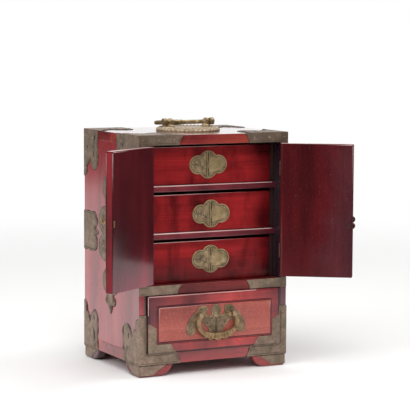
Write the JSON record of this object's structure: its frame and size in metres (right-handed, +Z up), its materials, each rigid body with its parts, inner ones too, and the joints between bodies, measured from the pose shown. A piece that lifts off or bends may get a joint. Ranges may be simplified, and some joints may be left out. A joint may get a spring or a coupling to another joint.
{
  "type": "portable_cabinet",
  "caption": "Red-lacquered, brass-bound Chinese table cabinet with open doors over small drawers, a wide base drawer with a drop bail and a folding carrying handle",
  "frame": {"origin": "the middle of the carcass's footprint on the surface that it stands on", "axes": "+X to the right of someone facing the doors, +Y to the back, +Z up"},
  "size_m": [0.3047, 0.2034, 0.2769],
  "materials": {
    "red_wood": "gloss",
    "dark_red_wood": "gloss",
    "light_red_wood": "gloss",
    "bare_wood": "satin",
    "dark_brass": "worn",
    "polished_brass": "satin"
  },
  "bodies": {
    "carcass": {"top_panel": "red_wood", "bottom_panel": "red_wood", "left_side_panel": "red_wood", "right_side_panel": "red_wood", "back_panel": "red_wood", "middle_board": "red_wood", "left_drawer_lining": "bare_wood", "right_drawer_lining": "bare_wood", "upper_drawer_shelf": "red_wood", "lower_drawer_shelf": "red_wood", "front_left_foot": "red_wood", "front_right_foot": "red_wood", "back_left_foot": "red_wood", "back_right_foot": "red_wood", "foot_caps": "dark_brass", "top_front_corner_mounts": "dark_brass", "top_back_corner_mounts": "dark_brass", "bottom_front_corner_mounts": "dark_brass", "bottom_back_corner_mounts": "dark_brass", "middle_rail_mounts": "dark_brass", "left_side_medallion": "dark_brass", "right_side_medallion": "dark_brass", "back_edge_straps": "dark_brass", "handle_plate": "dark_brass", "handle_posts": "polished_brass", "stile_hinge_leaves": "dark_brass", "hinge_pins": "dark_brass"},
    "left_door": {"left_door_panel": "dark_red_wood", "left_door_lock_plate": "dark_brass", "left_door_staple": "dark_brass", "left_door_hinge_leaves": "dark_brass"},
    "right_door": {"right_door_panel": "dark_red_wood", "right_door_lock_plate": "dark_brass", "right_door_staple": "dark_brass", "right_door_hinge_leaves": "dark_brass"},
    "upper_drawer": {"upper_drawer_front": "red_wood", "upper_drawer_sides": "bare_wood", "upper_drawer_back": "bare_wood", "upper_drawer_bottom": "bare_wood", "upper_drawer_plate": "dark_brass"},
    "middle_drawer": {"middle_drawer_front": "red_wood", "middle_drawer_sides": "bare_wood", "middle_drawer_back": "bare_wood", "middle_drawer_bottom": "bare_wood", "middle_drawer_plate": "dark_brass"},
    "lower_drawer": {"lower_drawer_front": "red_wood", "lower_drawer_sides": "bare_wood", "lower_drawer_back": "bare_wood", "lower_drawer_bottom": "bare_wood", "lower_drawer_plate": "dark_brass"},
    "base_drawer": {"base_drawer_front": "red_wood", "base_drawer_panel": "light_red_wood", "base_drawer_sides": "bare_wood", "base_drawer_back": "bare_wood", "base_drawer_bottom": "bare_wood", "base_drawer_bat_plate": "dark_brass", "base_drawer_bail_posts": "polished_brass", "base_drawer_corner_mounts": "dark_brass"},
    "base_bail": {"base_drawer_bail": "polished_brass"},
    "handle": {"carry_handle": "polished_brass"}
  },
  "joints": [
    {"name": "left_door_hinge", "type": "hinge", "parent": "carcass", "child": "left_door", "pos_m": [-0.0821, -0.0746, 0.17692], "axis": [0, 0, -1], "range_deg": [-148, 24]},
    {"name": "right_door_hinge", "type": "hinge", "parent": "carcass", "child": "right_door", "pos_m": [0.0821, -0.0746, 0.17692], "axis": [0, 0, 1], "range_deg": [-145, 27]},
    {"name": "upper_drawer_slide", "type": "slide", "parent": "carcass", "child": "upper_drawer", "axis": [0, -1, 0], "range_m": [0, 0.09]},
    {"name": "middle_drawer_slide", "type": "slide", "parent": "carcass", "child": "middle_drawer", "axis": [0, -1, 0], "range_m": [0, 0.09]},
    {"name": "lower_drawer_slide", "type": "slide", "parent": "carcass", "child": "lower_drawer", "axis": [0, -1, 0], "range_m": [0, 0.09]},
    {"name": "base_drawer_slide", "type": "slide", "parent": "carcass", "child": "base_drawer", "axis": [0, -1, 0], "range_m": [0, 0.1]},
    {"name": "base_bail_swing", "type": "hinge", "parent": "base_drawer", "child": "base_bail", "pos_m": [0, -0.0822, 0.0646], "axis": [-1, 0, 0], "range_deg": [0, 85]},
    {"name": "carry_handle_swing", "type": "hinge", "parent": "carcass", "child": "handle", "pos_m": [0.004, 0, 0.2727], "axis": [1, 0, 0], "range_deg": [0, 189]}
  ]
}
